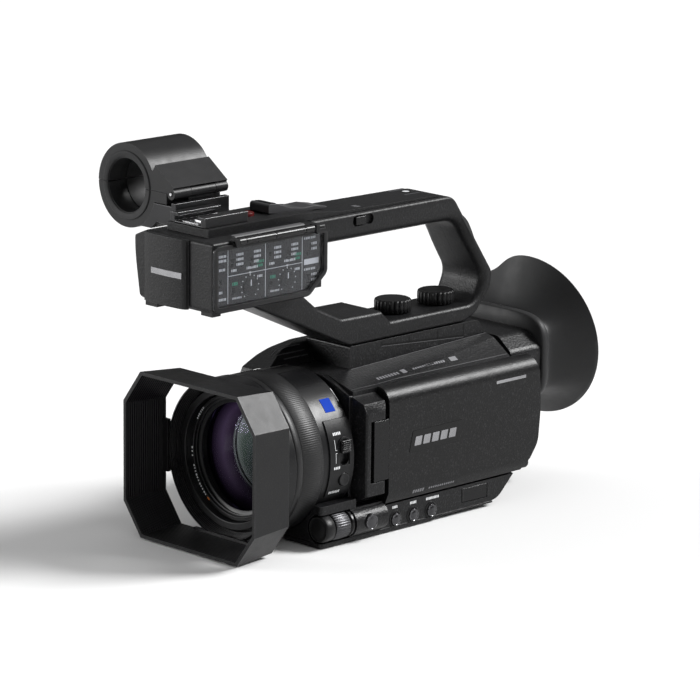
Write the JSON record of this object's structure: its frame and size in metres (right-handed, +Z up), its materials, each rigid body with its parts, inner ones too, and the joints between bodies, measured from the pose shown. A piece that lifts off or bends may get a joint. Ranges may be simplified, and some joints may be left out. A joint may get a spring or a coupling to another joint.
{
  "type": "camcorder",
  "caption": "Handheld camcorder with a square lens hood, side screen door, top handle carrying a sound control box and microphone clamp, and a large rubber eyecup.",
  "frame": {"origin": "mouth of the tripod socket in the underside, under the lens axis", "axes": "the lens looks along -Y, the screen door is on the +X side, the hand strap on the -X side, +Z is up; the underside lies on Z = 0"},
  "size_m": [0.12, 0.2547, 0.1893],
  "materials": {
    "casing_black": "fine-textured satin black",
    "socket_metal": "nickel plated",
    "barrel_black": "satin black paint",
    "lens_glass": "coated",
    "hood_black": "matt black",
    "ring_rubber": "ribbed",
    "plate_black": "semi-gloss black",
    "control_black": "satin black",
    "hinge_black": "satin charcoal",
    "door_black": "satin black with a soft sheen",
    "screen_glass": "polished black",
    "button_metal": "satin black with bare rims",
    "board_green": "solder-masked board",
    "battery_black": "satin black",
    "eyecup_rubber": "soft matt",
    "strap_fabric": "woven webbing with padding",
    "record_red": "translucent red",
    "handle_black": "satin black",
    "knob_black": "knurled black",
    "shoe_metal": "satin dark grey",
    "box_black": "satin black",
    "panel_grey": "printed dark grey",
    "cover_clear": "clear",
    "switch_black": "black",
    "clamp_black": "satin black"
  },
  "bodies": {
    "camera": {"casing_screen_side": "casing_black", "casing_grip_side": "casing_black", "front_frame": "casing_black", "control_pod": "casing_black", "top_cover": "casing_black", "bottom_cover": "casing_black", "rear_cover": "casing_black", "tripod_socket": "socket_metal", "lens_barrel": "barrel_black", "lens_glass": "lens_glass", "filter_ring": "barrel_black", "lens_hood": "hood_black", "switch_plate": "plate_black", "hinge_block": "casing_black", "sensor_board": "board_green", "main_board": "board_green", "battery": "battery_black", "hand_strap": "strap_fabric", "handle_screen_side": "handle_black", "handle_grip_side": "handle_black", "handle_top_cover": "handle_black", "accessory_shoe": "shoe_metal", "sound_box_shell": "box_black", "sound_box_front": "box_black", "sound_panel": "panel_grey", "sound_trim_switches": "switch_black", "microphone_sockets": "socket_metal", "microphone_bracket": "shoe_metal", "clamp_lower": "clamp_black"},
    "focus_ring_body": {"focus_ring": "ring_rubber"},
    "focus_switch_body": {"focus_switch": "control_black"},
    "focus_button_body": {"focus_button": "control_black"},
    "screen": {"screen_hinge": "hinge_black", "screen_door": "door_black", "screen_panel": "screen_glass"},
    "manual_dial_body": {"manual_dial": "button_metal"},
    "manual_button_body": {"manual_button": "button_metal"},
    "iris_button_body": {"iris_button": "button_metal"},
    "gain_button_body": {"gain_button": "button_metal"},
    "shutter_button_body": {"shutter_button": "button_metal"},
    "terminal_door_body": {"terminal_door": "hinge_black"},
    "eyepiece": {"eyepiece_housing": "casing_black", "eyepiece_lens": "lens_glass", "eyecup": "eyecup_rubber"},
    "grip_zoom_body": {"grip_zoom_lever": "control_black"},
    "grip_record_body": {"grip_record_button": "record_red"},
    "front_knob_body": {"front_knob": "knob_black"},
    "rear_knob_body": {"rear_knob": "knob_black"},
    "handle_zoom_body": {"handle_zoom_rocker": "control_black"},
    "handle_record_body": {"handle_record_button": "record_red"},
    "hold_body": {"hold_slider": "hinge_black"},
    "sound_cover_body": {"sound_cover": "cover_clear"},
    "level_dial_1_body": {"level_dial_1": "control_black"},
    "level_dial_2_body": {"level_dial_2": "control_black"},
    "channel_switch_body": {"channel_switch": "switch_black"},
    "input_switch_1_body": {"input_switch_1": "switch_black"},
    "input_switch_2_body": {"input_switch_2": "switch_black"},
    "auto_switch_1_body": {"auto_switch_1": "switch_black"},
    "auto_switch_2_body": {"auto_switch_2": "switch_black"},
    "clamp_top": {"clamp_upper": "clamp_black"}
  },
  "joints": [
    {"name": "focus_ring_turn", "type": "hinge", "parent": "camera", "child": "focus_ring_body", "pos_m": [0, -0.067, 0.041], "axis": [0, 1, 0], "continuous": true},
    {"name": "focus_switch_slide", "type": "slide", "parent": "camera", "child": "focus_switch_body", "axis": [0, 0, -1], "range_m": [0, 0.005]},
    {"name": "focus_button_press", "type": "slide", "parent": "camera", "child": "focus_button_body", "axis": [-1, 0, 0], "range_m": [0, 0.0008], "stiffness_N_per_m": 400},
    {"name": "screen_open", "type": "hinge", "parent": "camera", "child": "screen", "pos_m": [0.0372, -0.0242, 0.0426], "axis": [0, 0, -1], "range_deg": [0, 90]},
    {"name": "manual_dial_turn", "type": "hinge", "parent": "camera", "child": "manual_dial_body", "pos_m": [0.0365, -0.05, 0.0092], "axis": [0, 1, 0], "continuous": true},
    {"name": "manual_button_press", "type": "slide", "parent": "camera", "child": "manual_button_body", "axis": [-1, 0, 0], "range_m": [0, 0.0008], "stiffness_N_per_m": 400},
    {"name": "iris_press", "type": "slide", "parent": "camera", "child": "iris_button_body", "axis": [-1, 0, 0], "range_m": [0, 0.0008], "stiffness_N_per_m": 400},
    {"name": "gain_press", "type": "slide", "parent": "camera", "child": "gain_button_body", "axis": [-1, 0, 0], "range_m": [0, 0.0008], "stiffness_N_per_m": 400},
    {"name": "shutter_press", "type": "slide", "parent": "camera", "child": "shutter_button_body", "axis": [-1, 0, 0], "range_m": [0, 0.0008], "stiffness_N_per_m": 400},
    {"name": "terminal_door_open", "type": "hinge", "parent": "camera", "child": "terminal_door_body", "pos_m": [0.0378, 0.0368, 0.0085], "axis": [0, 0, -1], "range_deg": [0, 80]},
    {"name": "eyepiece_slide", "type": "slide", "parent": "camera", "child": "eyepiece", "axis": [0, 1, 0], "range_m": [0, 0.016]},
    {"name": "grip_zoom_turn", "type": "hinge", "parent": "camera", "child": "grip_zoom_body", "pos_m": [-0.036, 0.004, 0.065], "axis": [0, 0, 1], "range_deg": [-12, 12], "stiffness_Nm_per_rad": 0.05},
    {"name": "grip_record_press", "type": "slide", "parent": "camera", "child": "grip_record_body", "axis": [0, -1, 0], "range_m": [0, 0.001], "stiffness_N_per_m": 400},
    {"name": "front_knob_turn", "type": "hinge", "parent": "camera", "child": "front_knob_body", "pos_m": [0, 0.025, 0.095], "axis": [0, 0, 1], "continuous": true},
    {"name": "rear_knob_turn", "type": "hinge", "parent": "camera", "child": "rear_knob_body", "pos_m": [0, 0.055, 0.095], "axis": [0, 0, 1], "continuous": true},
    {"name": "handle_zoom_rock", "type": "hinge", "parent": "camera", "child": "handle_zoom_body", "pos_m": [0, -0.044, 0.1563], "axis": [1, 0, 0], "range_deg": [-3, 3], "stiffness_Nm_per_rad": 0.1},
    {"name": "handle_record_press", "type": "slide", "parent": "camera", "child": "handle_record_body", "axis": [0, 0, -1], "range_m": [0, 0.0008], "stiffness_N_per_m": 400},
    {"name": "hold_slide", "type": "slide", "parent": "camera", "child": "hold_body", "axis": [0, 1, 0], "range_m": [0, 0.004]},
    {"name": "sound_cover_open", "type": "hinge", "parent": "camera", "child": "sound_cover_body", "pos_m": [0.0275, -0.08, 0.1532], "axis": [0, -1, 0], "range_deg": [0, 100]},
    {"name": "level_1_turn", "type": "hinge", "parent": "camera", "child": "level_dial_1_body", "pos_m": [0.0234, -0.094, 0.1304], "axis": [1, 0, 0], "range_deg": [-140, 140]},
    {"name": "level_2_turn", "type": "hinge", "parent": "camera", "child": "level_dial_2_body", "pos_m": [0.0234, -0.0703, 0.1304], "axis": [1, 0, 0], "range_deg": [-140, 140]},
    {"name": "channel_switch_slide", "type": "slide", "parent": "camera", "child": "channel_switch_body", "axis": [0, 0, 1], "range_m": [0, 0.0022]},
    {"name": "input_switch_1_slide", "type": "slide", "parent": "camera", "child": "input_switch_1_body", "axis": [0, 0, 1], "range_m": [0, 0.0022]},
    {"name": "input_switch_2_slide", "type": "slide", "parent": "camera", "child": "input_switch_2_body", "axis": [0, 0, 1], "range_m": [0, 0.0022]},
    {"name": "auto_switch_1_slide", "type": "slide", "parent": "camera", "child": "auto_switch_1_body", "axis": [0, 0, 1], "range_m": [0, 0.0022]},
    {"name": "auto_switch_2_slide", "type": "slide", "parent": "camera", "child": "auto_switch_2_body", "axis": [0, 0, 1], "range_m": [0, 0.0022]},
    {"name": "clamp_open", "type": "hinge", "parent": "camera", "child": "clamp_top", "pos_m": [-0.0175, -0.088, 0.169], "axis": [0, 1, 0], "range_deg": [0, 100]}
  ]
}
